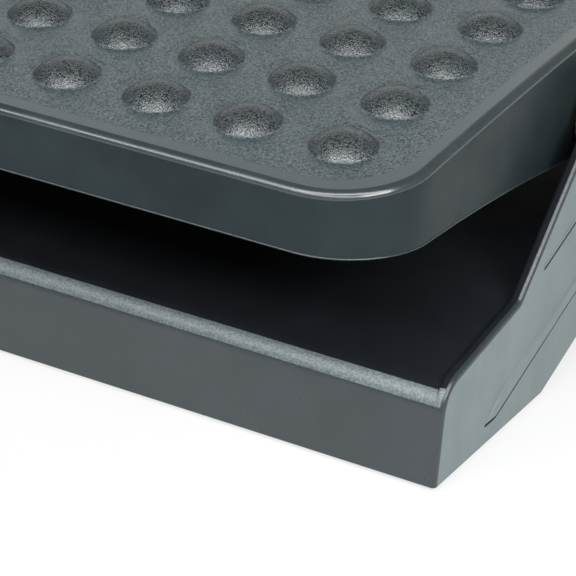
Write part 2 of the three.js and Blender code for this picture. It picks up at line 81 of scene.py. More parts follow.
# Domes
dome_pitch = 36 * mm
dome_columns = 11
dome_rows = 8
dome_spokes = 48
dome_height = 5.2 * mm
dome_ball_radius = 15.6 * mm
cap_radius = 11.3 * mm
cap_ring_shares = (0.14, 0.3, 0.46, 0.61, 0.75, 0.88, 1)
moat_radius = 12.6 * mm
moat_depth = 0.45 * mm
moat_ring_shares = (0.33, 0.62, 0.84, 1)
dimple_radius = 17.2 * mm
dimple_ring_shares = (0.22, 0.48, 0.74, 1)
moat_slope = 0.03
cell_ring_shares = (0.5, 1)
field_reach_x = dome_columns * dome_pitch / 2
field_reach_y = dome_rows * dome_pitch / 2

# Tray
tray_side_margin = 32.3 * mm
tray_front_margin = 33 * mm
tray_half_width = (dome_columns - 1) * dome_pitch / 2 + tray_side_margin
tray_half_depth = (dome_rows - 1) * dome_pitch / 2 + tray_front_margin
tray_corner_radius = 32.5 * mm
tray_edge_radius = 3 * mm
tray_edge_steps = 10
tray_wall = 3 * mm
tray_crown_radius = 3200 * mm
tray_top_rise = 33 * mm
tray_keel_drop = 16 * mm
tray_flank_slope = math.tan(12.5 * degree)
tray_flank_radius = 926 * mm
lip_radius = 0.7 * mm
lip_steps = 4
bead_radius = 0.35 * mm
tray_rib_depth = 10 * mm
tray_rib_thickness = 2 * mm
tray_cross_rib_pitch = 72 * mm
rim_side = 7.5 * mm
rim_front = 8.3 * mm
rim_corner_radius = 28 * mm

# Base
tray_overhang = 26.5 * mm
ear_gap = 8.2 * mm
ear_thickness = 4.5 * mm
ear_radius = 21.5 * mm
ear_foot_depth = 58.4 * mm
ear_foot_radius = 4 * mm
base_wall = 3 * mm
base_face_height = 33.9 * mm
base_face_lean = 2 * mm
side_lip = 2.5 * mm
side_lip_round = 1.7
base_edge_radius = 9 * mm
base_edge_steps = 14
base_edge_share = 0.62
base_side_radius = 1.5 * mm
base_side_steps = 5
side_line = 0.3 * mm
shelf_depth = 63 * mm
shelf_rise = math.tan(10.2 * degree)
ear_inner_x = tray_half_width + ear_gap
base_half_width = ear_inner_x + ear_thickness
base_half_depth = tray_half_depth - tray_overhang
deck_height = base_face_height + (shelf_depth - base_face_lean) * shelf_rise
arch_half_width = 47.7 * mm
arch_height = 13 * mm
arch_slope = math.tan(21 * degree)
ridge_height = 0.8 * mm
ridge_crest_share = 0.14
ridge_rise_share = 0.25
ridge_edge_share = 0.3
groove_width = 1.2 * mm
groove_depth = 1 * mm
# Chevrons, in mm: distances from the middle, with the heights of the upper and the lower line there
low_ridge = ((95.4, 8.9, 8.0), (87.2, 14.0, 8.0), (78, 19.8, 11.5), (0, 46.8, 41.0))
high_ridge = ((56.3, 53.9, 52.6), (0, 75.2, 73.4))
base_rib_depth = 10 * mm
base_rib_thickness = 2.5 * mm
base_rib_count = 10
ear_rib_thickness = 3 * mm
ear_rib_depth = 5 * mm
ear_rib_offset = 12 * mm

# Feet
foot_radius = 10 * mm
foot_thickness = 4 * mm
foot_proud = base_foot_z
foot_edge = 0.8 * mm
foot_edge_share = 0.3
foot_groove_radius = 6 * mm
foot_stem_radius = 2.8 * mm
foot_stem_length = 8 * mm
foot_boss_wall = 3.5 * mm
foot_x = base_half_width - 20 * mm
foot_y = base_half_depth - 19 * mm

# Pivot hardware, outwards along X
pin_radius = 4 * mm
pin_head_radius = 8 * mm
pin_head_thickness = 3 * mm
bush_wall = 2.5 * mm
bush_flange_radius = 11 * mm
bush_flange_thickness = 1.5 * mm
bush_depth = 5.2 * mm
ear_skin = 3 * mm
friction_washer_radius = 11 * mm
friction_washer_thickness = 2 * mm
spring_washer_radius = 9 * mm
spring_washer_thickness = 1 * mm
spring_washer_cone = 0.8 * mm
tray_boss_radius = 13.5 * mm
tray_seat_radius = 11.5 * mm
seat_x = tray_half_width - 2.3 * mm
tray_boss_depth = 14 * mm
collar_radius = 19 * mm
peg_radius = 2.5 * mm
peg_arm = 16.5 * mm
peg_end_gap = 1 * mm
collar_window_steps = 8
plate_thickness = 2 * mm
plate_half_width = 7 * mm
plate_edge_steps = 2
screw_y = 17 * mm
screw_radius = 1.75 * mm
screw_length = 10 * mm
screw_head_radius = 3.4 * mm
screw_head_height = 2.3 * mm
screw_slot_half = 0.45 * mm
screw_slot_reach = 1.8 * mm
screw_slot_depth = 1.3 * mm
screw_boss_radius = 4.8 * mm
edge_break = 0.4 * mm
boss_face_x = seat_x - tray_boss_depth
pin_head_x = boss_face_x - fit_gap - pin_head_thickness
plate_face_x = pin_head_x - fit_gap
screw_head_x = plate_face_x - plate_thickness - fit_gap
spring_washer_x = seat_x + fit_gap
friction_washer_x = spring_washer_x + spring_washer_thickness + spring_washer_cone + fit_gap
bush_flange_x = friction_washer_x + friction_washer_thickness + fit_gap
collar_x = bush_flange_x + bush_flange_thickness + fit_gap
bush_end_x = collar_x + bush_depth
pin_end_x = bush_end_x - fit_gap
bush_hole_radius = pin_radius + running_gap + bush_wall + fit_gap
pin_hole_radius = pin_radius + fit_gap
screw_hole_radius = screw_radius + fit_gap
round_steps = 64
# The screws' domed heads: radius and depth below the top, in mm
screw_dome = ((1.62, 0.08), (2.7, 0.25), (3.25, 0.7), (3.4, 1.2))

# The order of materials on the two mouldings, and a mark on the faces that the domed top replaces
tray_domed, tray_plain, tray_rounded = range(3)
base_plain, base_painted_light_outside, base_painted_shade, base_painted_highlight_band = range(4)
crown_mark = 1
# How far the normal of a face points up, from which on the face is part of a rounded edge
tray_edge_facing = 0.12
# On the base, the faces past this take the pale band, a painted highlight
base_edge_facing = 0.35

# A mix node's numbered sockets, its share and two colours, and the usual levels of a noise
mix_inputs = (0, 6, 7)
mix_output = 2
noise_levels = (0.3, 0.7)

# Surfaces of the tray's top and the base's rounded edges, which share their grain. The base's edges are
# paler as a painted highlight, and the domes darker as painted shade
grain_size = 0.72 * mm
grain_distortion = 0.9
grain_levels = (0.38, 0.62)
leather_depth = 0.045 * mm
leather_roughness = 0.42
rim_roughness = 0.28
rim_blend = 0.3 * mm
rim_patch_size = 40 * mm
cap_blend = 0.35
cap_gloss = 0.2
base_edge_depth = 0.03 * mm
base_edge_roughness = 0.36
base_edge_specular = 0.75
rim_colours = (0.045, 0.062, 0.067), (0.052, 0.071, 0.077)
leather_colours = (0.012, 0.018, 0.021), (0.092, 0.128, 0.136)
# Painted shade: the domes' colours are darker than the field's, for their dim tops; the grain in them is the
# moulding's own
cap_grain_and_shade_colours = (0.008, 0.011, 0.012), (0.046, 0.063, 0.068)
# Painted highlight: the base's rounded edges are much paler than the rest of the base
base_edge_grain_and_highlight_colours = (0.075, 0.098, 0.106), (0.150, 0.190, 0.200)

# Surfaces of the other moulded faces
shell_patch_size = 28 * mm
shell_gloss_size = 12 * mm
shell_gloss_change = 0.05
shells = {
    "tray_edge": dict(
        colours=((0.024, 0.034, 0.037), (0.032, 0.045, 0.049)), roughness=0.24,
        fine_size=0.7 * mm, fine_depth=0.003 * mm, specular=1.0,
    ),
    "tray_skirt": dict(
        colours=((0.018, 0.026, 0.029), (0.026, 0.037, 0.041)), roughness=0.34,
        fine_size=0.7 * mm, fine_depth=0.003 * mm, specular=0.08,
    ),
    "base_plastic": dict(
        colours=((0.021, 0.030, 0.034), (0.030, 0.042, 0.047)), roughness=0.32,
        fine_size=0.8 * mm, fine_depth=0.1 * mm, specular=0.75,
    ),
    # Painted light: the side walls' outer faces are several times paler than the front of the same moulding,
    # as lit from the right
    "base_painted_light_side": dict(
        colours=((0.155, 0.195, 0.202), (0.185, 0.23, 0.238)), roughness=0.5,
        fine_size=0.7 * mm, fine_depth=0.03 * mm, stretch=7.0,
    ),
    # Painted shade: near black for the shelves, the deck and the ears' insides, which lie in the tray's
    # shade
    "base_inside": dict(
        colours=((0.009, 0.0107, 0.0135), (0.0135, 0.0158, 0.020)), roughness=0.7,
        fine_size=0.8 * mm, fine_depth=0.03 * mm, specular=0.06,
    ),
}

# Surfaces of the small parts
small_surfaces = {
    "black_rubber": dict(
        colours=((0.012, 0.012, 0.013), (0.03, 0.03, 0.031)), roughness=0.8,
        patch_size=3 * mm, patch_detail=4.0, fine_size=0.5 * mm, fine_depth=0.05 * mm,
    ),
    "natural_nylon": dict(
        colours=((0.62, 0.6, 0.52), (0.72, 0.7, 0.62)), roughness=0.45,
        patch_size=4 * mm, patch_detail=3.0, fine_size=0.6 * mm, fine_depth=0.02 * mm,
    ),
    "pressed_fibre": dict(
        colours=((0.08, 0.03, 0.018), (0.17, 0.08, 0.045)), roughness=0.85,
        patch_size=0.7 * mm, patch_detail=4.0, fine_size=0.3 * mm, fine_depth=0.06 * mm,
    ),
}
steels = {
    "turned_steel": dict(colours=((0.5, 0.51, 0.52), (0.62, 0.63, 0.64)), roughness=0.28),
    "zinc_plate": dict(colours=((0.42, 0.43, 0.4), (0.55, 0.56, 0.52)), roughness=0.38),
}
steel_patch_size = 2 * mm
steel_gloss_size = 1.2 * mm
steel_fine_size = 0.25 * mm
steel_fine_depth = 0.01 * mm
steel_detail = 4.0
steel_smoother, steel_rougher = 0.06, 0.08

# Studio. A lamp has its place, the point that it faces, its width and height, and its power in watts
lamps = {
    "front_softbox": ((0.15, -1.25, 1.0), (0.2, -0.1, 0.08), 2.3, 0.34, 15),
    "upper_softbox": ((0.5, -0.75, 1.45), (0.2, -0.1, 0.1), 2.5, 0.36, 22),
    "right_softbox": ((1.3, -0.6, 0.85), (0.2, -0.1, 0.08), 0.8, 0.4, 11),
    "backdrop": ((-0.95, 1.75, 0.95), (0, 0, 0.1), 2.6, 1.1, 6),
}
white = (1, 1, 1, 1)
wall_top = 34 * degree
ceiling_start = 50 * degree
wall_strength = 0.24
ceiling_strength = 0.1
diffuse_share = 0.5
floor_colour = (0.8, 0.8, 0.8, 1)
floor_glow = 0.75
floor_reach = 30


# Meshes
def mesh_piece(name, points, faces):
    mesh = bpy.data.meshes.new(name)
    mesh.from_pydata([tuple(point) for point in points], [], faces)
    shape = bmesh.new()
    shape.from_mesh(mesh)
    bmesh.ops.recalc_face_normals(shape, faces=shape.faces)
    shape.to_mesh(mesh)
    shape.free()
    piece = bpy.data.objects.new(name, mesh)
    bpy.context.scene.collection.objects.link(piece)
    return piece


def bands(rings, count):
    """The faces between neighbouring rings, each of that count of points."""
    faces = []
    for low in range(0, (rings - 1) * count, count):
        for i in range(count):
            j = (i + 1) % count
            faces.append((low + i, low + j, low + count + j, low + count + i))
    return faces


def lofted(name, rings):
    """A closed solid through rings of as many points, capped at both ends."""
    count = len(rings[0])
    caps = [tuple(reversed(range(count))), tuple(range((len(rings) - 1) * count, len(rings) * count))]
    return mesh_piece(name, [point for ring in rings for point in ring], bands(len(rings), count) + caps)


def box(from_x, to_x, from_y, to_y, from_z, to_z):
    ring = [(from_x, from_y), (to_x, from_y), (to_x, to_y), (from_x, to_y)]
    return lofted("box", [[Vector((x, y, z)) for x, y in ring] for z in (from_z, to_z)])


def arc(first, last, steps):
    """The cosines and sines of angles from the first to the last."""
    angles = [first + (last - first) * k / steps for k in range(steps + 1)]
    return [(math.cos(angle), math.sin(angle)) for angle in angles]


def rounded(corners):
    """The points of an outline in Y and Z. A corner is y, z and, where it is round, radius and steps."""
    points = []
    for i, corner in enumerate(corners):
        at = Vector(corner[:2])
        if len(corner) == 2:
            points.append(at)
            continue
        radius, steps = corner[2:]
        back = (Vector(corners[i - 1][:2]) - at).normalized()
        on = (Vector(corners[(i + 1) % len(corners)][:2]) - at).normalized()
        half = math.acos(back.dot(on)) / 2
        centre = at + (back + on).normalized() * (radius / math.sin(half))
        start, end = (at + side * (radius / math.tan(half)) - centre for side in (back, on))
        first, last = math.atan2(start.y, start.x), math.atan2(end.y, end.x)
        sweep = math.remainder(last - first, 2 * math.pi)
        points += [centre + radius * Vector(aim) for aim in arc(first, first + sweep, steps)]
    return points


def inset(points, by):
    """An outline moved inwards, with mitred corners."""
    count = len(points)
    area = sum(points[i - 1].x * points[i].y - points[i].x * points[i - 1].y for i in range(count))
    inwards = math.copysign(1, area)
    shifted = []
    for i, at in enumerate(points):
        back = (at - points[i - 1]).normalized()
        on = (points[(i + 1) % count] - at).normalized()
        sideways = (back.orthogonal() + on.orthogonal()) / (1 + back.dot(on))
        shifted.append(at + sideways * by * inwards)
    return shifted


def slab(corners, from_x, to_x, edge=0.0, steps=1, line=0.0):
    """An outline in Y and Z, stretched along X, with rounded rims and a fine line cut inside the far one."""
    points = rounded(corners)
    profile = [(from_x, 0), (to_x, 0)]
    if edge:
        first = [(from_x + edge * (1 - cos), edge * (1 - sin)) for cos, sin in arc(0, quarter, steps)]
        profile = first + [(from_x + to_x - x, by) for x, by in reversed(first)]
    if line:
        profile += [(to_x - line, edge + line / 2), (to_x, edge + line)]
    rings = []
    for x, by in profile:
        ring = inset(points, by) if by else points
        rings.append([Vector((x, at.x, at.y)) for at in ring])
    return lofted("slab", rings)


def turned(name, pairs):
    """A round solid about X from the radius and place of each ring, closed where a radius is nothing."""
    points, rings = [], []
    for radius, x in pairs:
        count = round_steps if radius else 1
        rings.append(range(len(points), len(points) + count))
        for k in range(count):
            angle = 2 * math.pi * k / round_steps
            points.append(Vector((x, radius * math.cos(angle), radius * math.sin(angle))))
    faces = []
    for first, second in zip(rings, rings[1:] + rings[:1]):
        if len(first) == 1 and len(second) == 1:
            continue
        for k in range(round_steps):
            j = (k + 1) % round_steps
            around = [ring[i % len(ring)] for ring, i in ((first, k), (first, j), (second, j), (second, k))]
            faces.append(tuple(dict.fromkeys(around)))
    return mesh_piece(name, points, faces)


def moved(piece, matrix):
    piece.data.transform(matrix)
    return piece


def rod(radius, from_x, to_x, y, z):
    piece = turned("rod", [(0, from_x), (radius, from_x), (radius, to_x), (0, to_x)])
    return moved(piece, Matrix.Translation((0, y, z)))


def upright(piece, x, y):
    """Turns a round solid about X so that it stands along Z, and moves it into place."""
    return moved(piece, Matrix.Translation((x, y, 0)) @ Matrix.Rotation(-quarter, 4, "Y"))


def half_round(piece):
    """A copy of the piece, turned half round about Z."""
    twin = bpy.data.objects.new(piece.name, piece.data.copy())
    bpy.context.scene.collection.objects.link(twin)
    return moved(twin, Matrix.Rotation(half_turn, 4, "Z"))


def both_sides(pieces):
    return [twin for piece in pieces for twin in (piece, half_round(piece))]


def combine(piece, tools, operation):
    """Adds, cuts or intersects the piece with each tool, and removes the tools."""
    for tool in tools:
        modifier = piece.modifiers.new("combine", "BOOLEAN")
        modifier.operation = operation
        modifier.solver = "MANIFOLD"
        modifier.object = tool
    graph = bpy.context.evaluated_depsgraph_get()
    old, piece.data = piece.data, bpy.data.meshes.new_from_object(piece.evaluated_get(graph))
    piece.modifiers.clear()
    bpy.data.meshes.remove(old)
    for tool in tools:
        bpy.data.meshes.remove(tool.data)
    return piece


def united(pieces):
    return combine(pieces[0], pieces[1:], "UNION")


def cut(piece, tools):
    return combine(piece, tools, "DIFFERENCE")


def smoothed(piece):
    """Smooth shading inside each face and each round edge, and sharp creases elsewhere."""
    for polygon in piece.data.polygons:
        polygon.use_smooth = True
    piece.data.set_sharp_from_angle(angle=crease_angle)
    weighted = piece.modifiers.new("even_normals", "WEIGHTED_NORMAL")
    weighted.keep_sharp = True
    weighted.weight = 100
    return piece


def tidied(piece):
    """Joins the near points and the coplanar faces that cutting leaves behind."""
    shape = bmesh.new()
    shape.from_mesh(piece.data)
    bmesh.ops.remove_doubles(shape, verts=shape.verts, dist=merge_distance)
    bmesh.ops.dissolve_limit(shape, angle_limit=flat_angle, verts=shape.verts, edges=shape.edges)
    shape.to_mesh(piece.data)
    shape.free()
    return piece


def dressed(piece, name, body, replaced, place, materials):
    """Names a finished piece, gives it its materials and hangs it on its body in place of its solids."""
    piece.name = name
    piece.data.name = name
    faces = piece.data.polygons
    indices = [face.material_index for face in faces]
    piece.data.materials.clear()
    for surface in materials:
        piece.data.materials.append(surface)
    for face, index in zip(faces, indices):
        face.material_index = index
    moved(piece, place)
    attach(piece, body)
    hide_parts(*replaced)
    return piece


# Tray
def crown(y):
    return tray_top_rise - tray_crown_radius + math.sqrt(tray_crown_radius**2 - y**2)


def flank(y):
    hollow = tray_flank_radius - math.sqrt(tray_flank_radius**2 - y**2)
    return abs(y) * tray_flank_slope - tray_keel_drop - hollow


def eased(share, start, end, start_slope, end_slope):
    """A smooth curve between two heights with given slopes at its ends."""
    two, three = share**2, share**3
    held = start * (2 * three - 3 * two + 1) + end * (3 * two - 2 * three)
    return held + start_slope * (three - 2 * two + share) + end_slope * (three - two)


def dome_profile():
    """Radius and height of the rings of a dome: its cap, the moat at its foot and the dimple round that."""
    def cap(radius):
        return dome_height - dome_ball_radius + math.sqrt(dome_ball_radius**2 - radius**2)

    rings = [(share * cap_radius, cap(share * cap_radius)) for share in cap_ring_shares]
    reach = moat_radius - cap_radius
    cap_slope = -cap_radius / math.sqrt(dome_ball_radius**2 - cap_radius**2) * reach
    for share in moat_ring_shares:
        height = eased(share, cap(cap_radius), -moat_depth, cap_slope, moat_slope * reach)
        rings.append((cap_radius + share * reach, height))
    reach = dimple_radius - moat_radius
    for share in dimple_ring_shares:
        height = eased(share, -moat_depth, 0, moat_slope * reach, 0)
        rings.append((moat_radius + share * reach, height))
    return rings


def on_tray(x, y, height=0.0):
    """A point at a height square to the tray's crowned top."""
    lean = math.asin(y / tray_crown_radius)
    return Vector((x, y + height * math.sin(lean), crown(y) + height * math.cos(lean)))


def dome_cell(centre_x, centre_y):
    """One square of the tray's top with its dome: points, faces and how much of each point is cap."""
    profile = dome_profile()
    points = [on_tray(centre_x, centre_y, dome_height)]
    caps = [1.0]
    half = dome_pitch / 2
    angles = [2 * math.pi * k / dome_spokes for k in range(dome_spokes)]
    for radius, height in profile:
        for angle in angles:
            x, y = centre_x + radius * math.cos(angle), centre_y + radius * math.sin(angle)
            points.append(on_tray(x, y, height))
            caps.append(1.0 if radius < cap_radius + fit_gap else 0.0)
    for blend in cell_ring_shares:
        for angle in angles:
            reach = half / max(abs(math.cos(angle)), abs(math.sin(angle)))
            radius = dimple_radius + (reach - dimple_radius) * blend
            points.append(on_tray(centre_x + radius * math.cos(angle), centre_y + radius * math.sin(angle)))
            caps.append(0.0)
    rings = len(profile) + len(cell_ring_shares)
    faces = []
    for k in range(dome_spokes):
        j = (k + 1) % dome_spokes
        faces.append((0, 1 + k, 1 + j))
        for ring in range(rings - 1):
            low, high = 1 + ring * dome_spokes, 1 + (ring + 1) * dome_spokes
            faces.append((low + k, high + k, high + j, low + j))
    return points, faces, caps


def field_border():
    """The outer edge of the squares of domes, all the way round, as points in X and Y."""
    steps = dome_spokes // 8
    offsets = [dome_pitch / 2 * math.tan(k * quarter / (2 * steps)) for k in range(-steps, steps)]

    def along(count):
        middles = [(i - (count - 1) / 2) * dome_pitch for i in range(count)]
        return [middle + offset for middle in middles for offset in offsets]

    near = [(x, -field_reach_y) for x in along(dome_columns)]
    near += [(field_reach_x, y) for y in along(dome_rows)]
    return near + [(-x, -y) for x, y in near]


def tray_ring(by):
    """The tray's outline moved inwards, one point for each point of the border of the dome field."""
    radius = tray_corner_radius - by
    corner_x, corner_y = tray_half_width - tray_corner_radius, tray_half_depth - tray_corner_radius
    ring = []
    for x, y in field_border():
        from_front = abs(abs(y) - field_reach_y) < fit_gap
        past_x = max(abs(x) - corner_x, 0) / (field_reach_x - corner_x)
        past_y = max(abs(y) - corner_y, 0) / (field_reach_y - corner_y)
        turn = quarter / 2 * past_x if from_front and past_x < 1 else quarter - quarter / 2 * past_y
        side_x = min(abs(x), corner_x) if from_front else corner_x
        side_y = corner_y if from_front else min(abs(y), corner_y)
        place_x, place_y = side_x + radius * math.sin(turn), side_y + radius * math.cos(turn)
        ring.append((math.copysign(place_x, x), math.copysign(place_y, y)))
    return ring


def raised(ring, height_at, rise=0.0):
    return [Vector((x, y, height_at(y) + rise)) for x, y in ring]


def tray_strips(start, count):
    """Faces from left to right that close a ring of the tray, whose points begin at start."""
    across_x, across_y = dome_columns * dome_spokes // 4, dome_rows * dome_spokes // 4
    ring = range(start, start + count)
    front, right = list(ring[:across_x + 1]), ring[across_x:across_x + across_y + 1]
    back = list(ring[across_x + across_y:2 * across_x + across_y + 1])[::-1]
    left = [ring[-k] for k in range(across_y + 1)]
    strips = []
    for k in range(across_y):
        lower = front if k == 0 else [left[k], right[k]]
        upper = back if k == across_y - 1 else [left[k + 1], right[k + 1]]
        strips.append(tuple(lower + upper[::-1]))
    return strips


def tray_body():
    """The tray's skirt with its rounded rim, its bead and its hollow, closed by a plain crown."""
    profile = []
    for cos, sin in arc(quarter, 0, tray_edge_steps):
        profile.append((tray_edge_radius * (1 - cos), crown, tray_edge_radius * (sin - 1)))
    for cos, sin in arc(quarter, -quarter, 2 * lip_steps):
        profile.append((bead_radius * (1 - cos), flank, bead_radius * (1 + sin)))
    for cos, sin in arc(0, quarter, lip_steps):
        profile.append((tray_wall - lip_radius * (1 - sin), flank, lip_radius * (1 - cos)))
    profile.append((tray_wall, crown, -tray_wall))
    rings = [raised(tray_ring(by), height_at, rise) for by, height_at, rise in profile]
    count = len(rings[0])
    sides = bands(len(rings), count)
    top = tray_strips(0, count)
    under = tray_strips((len(rings) - 1) * count, count)
    piece = mesh_piece("tray_body", [point for ring in rings for point in ring], sides + top + under)
    for face in piece.data.polygons[len(sides):len(sides) + len(top)]:
        face.material_index = crown_mark
    return piece


def tray_ribs():
    """A grid of ribs under the crown, trimmed to the tray's inside."""
    in_wall = tray_wall / 2
    bottom = tray_top_rise - tray_wall - tray_rib_depth
    half = tray_rib_thickness / 2
    reach_x, reach_y = tray_half_width - in_wall, tray_half_depth - in_wall
    plates = []
    for column in range(1, dome_columns):
        x = (column - dome_columns / 2) * dome_pitch
        plates.append(box(x - half, x + half, -reach_y, reach_y, bottom, tray_top_rise))
    for y in (-tray_cross_rib_pitch, 0, tray_cross_rib_pitch):
        plates.append(box(-reach_x, reach_x, y - half, y + half, bottom, tray_top_rise))
    ring = tray_ring(in_wall)
    points = [Vector((x, y, bottom - overrun)) for x, y in ring] + raised(ring, crown, -in_wall)
    count = len(ring)
    zone = mesh_piece("zone", points, bands(2, count) + tray_strips(0, count) + tray_strips(count, count))
    return combine(united(plates), [zone], "INTERSECT")


def tray_fittings():
    in_wall = tray_half_width - tray_wall / 2
    parts = [rod(tray_boss_radius, boss_face_x, in_wall, 0, 0)]
    parts.append(rod(peg_radius, in_wall, ear_inner_x - peg_end_gap, 0, peg_arm))
    for y in (-screw_y, screw_y):
        parts.append(rod(screw_boss_radius, plate_face_x + fit_gap, in_wall, y, 0))
    return both_sides(parts)


def tray_holes():
    parts = [rod(pin_hole_radius, pin_head_x - fit_gap, tray_half_width + overrun, 0, 0)]
    parts.append(rod(tray_seat_radius, seat_x, tray_half_width + overrun, 0, 0))
    for y in (-screw_y, screw_y):
        parts.append(rod(screw_hole_radius, screw_head_x, screw_head_x + screw_length + fit_gap, y, 0))
    return both_sides(parts)


def foot_tray(materials):
    """The domed top is joined to the body in place of the plain crown."""
    body = united([tray_body(), tray_ribs(), *tray_fittings()])
    body = cut(body, tray_holes())
    shape = bmesh.new()
    shape.from_mesh(body.data)
    plain_crown = [face for face in shape.faces if face.material_index == crown_mark]
    bmesh.ops.delete(shape, geom=plain_crown, context="FACES")
    cap_layer = shape.verts.layers.float.new("cap")
    for face in shape.faces:
        face.material_index = tray_plain
    corners = {}

    def corner(point):
        key = tuple(round(value / point_grid) for value in point)
        if key not in corners:
            corners[key] = shape.verts.new(point)
        return corners[key]

    for column in range(dome_columns):
        for row in range(dome_rows):
            x = (column - (dome_columns - 1) / 2) * dome_pitch
            y = (row - (dome_rows - 1) / 2) * dome_pitch
            points, faces, caps = dome_cell(x, y)
            made = [corner(point) for point in points]
            for vertex, share in zip(made, caps):
                vertex[cap_layer] = max(share, vertex[cap_layer])
            for face in faces:
                shape.faces.new([made[i] for i in face]).material_index = tray_domed
    border = [corner(on_tray(x, y)) for x, y in field_border()]
    edge = [corner(point) for point in raised(tray_ring(tray_edge_radius), crown)]
    for i in range(len(border)):
        j = (i + 1) % len(border)
        shape.faces.new([border[i], edge[i], edge[j], border[j]]).material_index = tray_domed
    bmesh.ops.remove_doubles(shape, verts=shape.verts, dist=hair)
    bmesh.ops.recalc_face_normals(shape, faces=shape.faces)
    for face in shape.faces:
        if face.material_index == tray_plain and face.normal.z > tray_edge_facing:
            face.material_index = tray_rounded
    shape.to_mesh(body.data)
    shape.free()
    smoothed(body)
    return dressed(body, "tray_shell", "tray", ["foot_tray"], tray_place, materials)


# Base
def mirrored(half):
    """A whole outline from its front half."""
    return half + [(-corner[0], *corner[1:]) for corner in reversed(half) if corner[0] < 0]


def base_half(by, lift=0.0):
    """Half of the base's outline in Y and Z, from its lower edge at the front, moved inwards or up."""
    lean = base_face_lean / base_face_height
    foot = -base_half_depth + by * math.hypot(1, lean)
    shelf_front = base_face_height + lift - base_face_lean * shelf_rise - by * math.hypot(1, shelf_rise)
    corner_z = (shelf_front + (foot + base_half_depth) * shelf_rise) / (1 - lean * shelf_rise)
    deck = deck_height + lift - by
    corner = (foot + lean * corner_z, corner_z)
    if by < base_edge_radius:
        corner += (base_edge_radius - by + lift * side_lip_round, base_edge_steps)
    deck_start = (deck - shelf_front) / shelf_rise - base_half_depth
    return [(foot - lean * overrun, -overrun), corner, (deck_start, deck)]


def side_half():
    """Half of a side wall's outline: it follows the shelf, then climbs to the round top of the ear."""
    bottom, corner, _ = base_half(0, side_lip)
    foot_at = ear_foot_depth - base_half_depth
    foot_z = base_face_height + side_lip + (ear_foot_depth - base_face_lean) * shelf_rise
    reach = math.hypot(foot_at, pivot_height - foot_z)
    climb = math.atan2(pivot_height - foot_z, -foot_at) + math.asin(ear_radius / reach)
    ear_foot = (foot_at, foot_z, ear_foot_radius, base_side_steps)
    apex = (0, pivot_height + ear_radius / math.cos(climb), ear_radius, round_steps)
    return [bottom, corner, ear_foot, apex]


def ridge_arm(stations, facing):
    """One arm of a chevron: a ridge with its crest near the upper line and a low step at the lower line."""
    rings = []
    for y, high, low in stations:
        rise = min(ridge_height, (high - low) * mm * ridge_rise_share)
        crest = high + (low - high) * ridge_crest_share
        step = rise * ridge_edge_share
        section = [(-ridge_height, high), (0, high), (rise, crest), (step, low), (-ridge_height, low)]
        rings.append([Vector((base_half_width + x, facing * y * mm, z * mm)) for x, z in section])
    return lofted("ridge", rings)


def ridge_groove(stations, facing):
    """The narrow groove under one arm of a chevron."""
    line = [Vector((facing * y, low)) * mm for y, high, low in stations]
    runs = [end - start for start, end in zip(line, line[1:])]
    downs = [facing * Vector((-run.y, run.x)).normalized() for run in runs]
    lower = []
    for i, at in enumerate(line):
        before, after = downs[max(i - 1, 0)], downs[min(i, len(downs) - 1)]
        lower.append(at + (before + after) * (groove_width / (1 + before.dot(after))))
    lower[-1] = Vector((0, lower[-1].y - lower[-1].x * downs[-1].x / downs[-1].y))
    return slab(line + lower[::-1], base_half_width - groove_depth, base_half_width + overrun)


def foot_rods(radius, from_z, to_z):
    """Upright rods on the axes of the four feet."""
    places = [(x, y) for x in (-foot_x, foot_x) for y in (-foot_y, foot_y)]
    return [upright(rod(radius, from_z, to_z, 0, 0), x, y) for x, y in places]


def base_slab(by, reach):
    return slab(mirrored(base_half(by)), -reach, reach)


def base_inside():
    """The ribs under the deck and the shelves, and the bosses of the feet."""
    skin = base_slab(base_wall / 2, ear_inner_x + fit_gap)
    below_ribs = base_slab(base_wall + base_rib_depth, ear_inner_x)
    half = base_rib_thickness / 2
    plates = []
    for rib in range(1, base_rib_count + 1):
        x = (2 * rib / (base_rib_count + 1) - 1) * ear_inner_x
        plates.append(box(x - half, x + half, -base_half_depth, base_half_depth, 0, deck_height))
    for side in (-1, 0, 1):
        y = side * (base_half_depth - shelf_depth)
        plates.append(box(-ear_inner_x, ear_inner_x, y - half, y + half, 0, deck_height))
    ribs = cut(united(plates), [below_ribs])
    boss_foot = foot_thickness - foot_proud + fit_gap
    bosses = foot_rods(foot_stem_radius + foot_boss_wall, boss_foot, deck_height)
    return combine(united([ribs, *bosses]), [skin], "INTERSECT")


def collar_window():
    """The opening in a collar in which the tray's peg swings."""
    half = tilt_limit + math.asin((peg_radius + fit_gap) / peg_arm)

    def swing(radius, steps):
        return [(radius * sin, pivot_height + radius * cos) for cos, sin in arc(half, -half, steps)]

    start, end = swing(collar_radius + overrun, 1)
    inner = swing(peg_arm - peg_radius - fit_gap, collar_window_steps)
    return slab([start, *inner, end], collar_x - overrun, ear_inner_x)


def ear_fittings():
    """On each ear's inside, a collar round the bush and two ribs that carry it."""
    in_wall = ear_inner_x + ear_thickness / 2
    collar = cut(rod(collar_radius, collar_x, in_wall, 0, pivot_height), [collar_window()])
    half = ear_rib_thickness / 2
    ribs = []
    for y in (-ear_rib_offset, ear_rib_offset):
        foot = deck_height - base_wall / 2
        ribs.append(box(ear_inner_x - ear_rib_depth, in_wall, y - half, y + half, foot, pivot_height))
    hub = rod(collar_radius - fit_gap, collar_x - overrun, in_wall, 0, pivot_height)
    return both_sides([collar, cut(united(ribs), [hub])])


